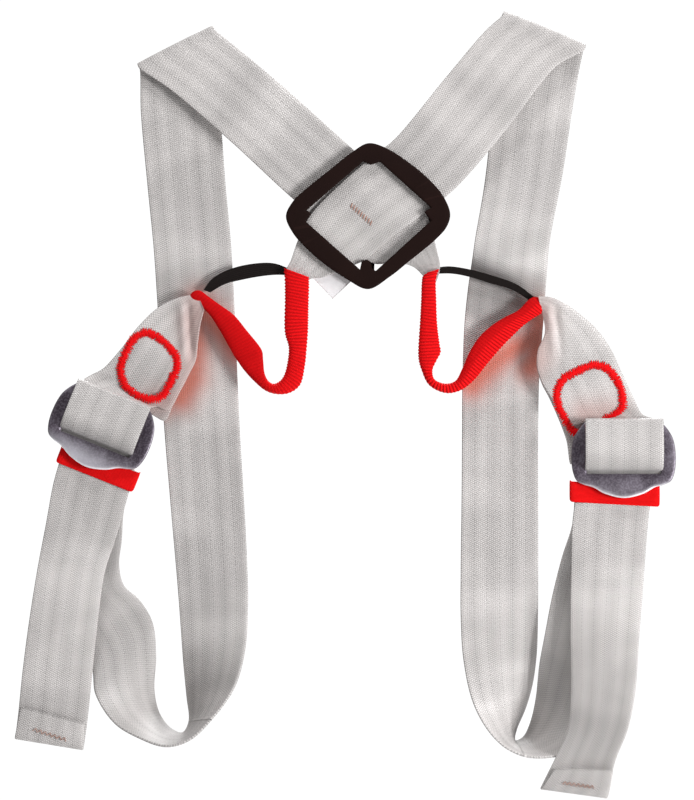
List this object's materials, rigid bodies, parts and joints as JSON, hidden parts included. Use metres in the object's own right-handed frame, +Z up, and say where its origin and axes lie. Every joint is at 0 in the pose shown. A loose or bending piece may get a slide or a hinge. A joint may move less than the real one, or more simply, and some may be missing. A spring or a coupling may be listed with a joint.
{
  "type": "safety harness vest",
  "caption": "Deck safety harness vest: crossed webbings in a chest plate, metal side adjusters, red sleeved soft loops and free strap tails.",
  "frame": {"origin": "middle of the cross plate's ring, the point the harness is carried from on the wearer's chest", "axes": "+Z up as worn, -Y the front that faces away from the wearer, +X to the right seen from the front"},
  "size_m": [0.3915, 0.0572, 0.467],
  "materials": {
    "webbing": "woven silver-grey polyester webbing",
    "plate_plastic": "moulded, near black, matte",
    "satin_steel": "satin, slightly violet grey",
    "red_sleeve": "ribbed woven tube",
    "red_keeper": "woven elastic band",
    "red_thread": "satin-stitched thread",
    "tack_thread": "sewing thread",
    "black_elastic": "knitted elastic",
    "label_cloth": "smooth blank woven label"
  },
  "bodies": {
    "harness": {"cross_plate": "plate_plastic", "cross_tack": "tack_thread", "blank_label": "label_cloth", "left_shoulder_strap": "webbing", "right_shoulder_strap": "webbing", "left_underarm_strap": "webbing", "right_underarm_strap": "webbing", "left_side_strap": "webbing", "right_side_strap": "webbing", "left_box_stitch": "red_thread", "right_box_stitch": "red_thread", "left_loop_elastic": "black_elastic", "right_loop_elastic": "black_elastic"},
    "left_loop": {"left_loop_sleeve": "red_sleeve", "left_loop_core": "webbing"},
    "left_adjuster": {"left_adjuster_frame": "satin_steel", "left_adjuster_wrap": "webbing"},
    "left_bar": {"left_adjuster_bar": "satin_steel"},
    "left_keeper_band": {"left_keeper": "red_keeper"},
    "left_tail_end": {"left_tail": "webbing", "left_hem_stitch": "tack_thread"},
    "right_loop": {"right_loop_sleeve": "red_sleeve", "right_loop_core": "webbing"},
    "right_adjuster": {"right_adjuster_frame": "satin_steel", "right_adjuster_wrap": "webbing"},
    "right_bar": {"right_adjuster_bar": "satin_steel"},
    "right_keeper_band": {"right_keeper": "red_keeper"},
    "right_tail_end": {"right_tail": "webbing", "right_hem_stitch": "tack_thread"}
  },
  "joints": [
    {"name": "left_loop_swing", "type": "hinge", "parent": "harness", "child": "left_loop", "pos_m": [-0.0694, -0.001, -0.0467], "axis": [-0.9636, 0, -0.2672], "range_deg": [-3, 90]},
    {"name": "right_loop_swing", "type": "hinge", "parent": "harness", "child": "right_loop", "pos_m": [0.06525, -0.001, -0.0487], "axis": [-0.9442, 0, 0.3294], "range_deg": [-3, 90]},
    {"name": "left_adjuster_tilt", "type": "hinge", "parent": "harness", "child": "left_adjuster", "pos_m": [-0.1508, 0, -0.1072], "axis": [-0.9291, 0, 0.3697], "range_deg": [0, 15]},
    {"name": "left_bar_slide", "type": "slide", "parent": "left_adjuster", "child": "left_bar", "axis": [-0.3697, 0, -0.9291], "range_m": [0, 0.0025]},
    {"name": "left_keeper_slide", "type": "slide", "parent": "left_adjuster", "child": "left_keeper_band", "axis": [-0.3697, 0, -0.9291], "range_m": [0, 0.009]},
    {"name": "left_tail_swing", "type": "hinge", "parent": "left_adjuster", "child": "left_tail_end", "pos_m": [-0.17354, -0.0031, -0.16434], "axis": [-0.9291, 0, 0.3697], "range_deg": [0, 35]},
    {"name": "right_adjuster_tilt", "type": "hinge", "parent": "harness", "child": "right_adjuster", "pos_m": [0.1518, 0, -0.1226], "axis": [-1, 0, 0], "range_deg": [0, 15]},
    {"name": "right_bar_slide", "type": "slide", "parent": "right_adjuster", "child": "right_bar", "axis": [0, 0, -1], "range_m": [0, 0.0025]},
    {"name": "right_keeper_slide", "type": "slide", "parent": "right_adjuster", "child": "right_keeper_band", "axis": [0, 0, -1], "range_m": [0, 0.009]},
    {"name": "right_tail_swing", "type": "hinge", "parent": "right_adjuster", "child": "right_tail_end", "pos_m": [0.1518, -0.0031, -0.1841], "axis": [-1, 0, 0], "range_deg": [0, 35]}
  ]
}
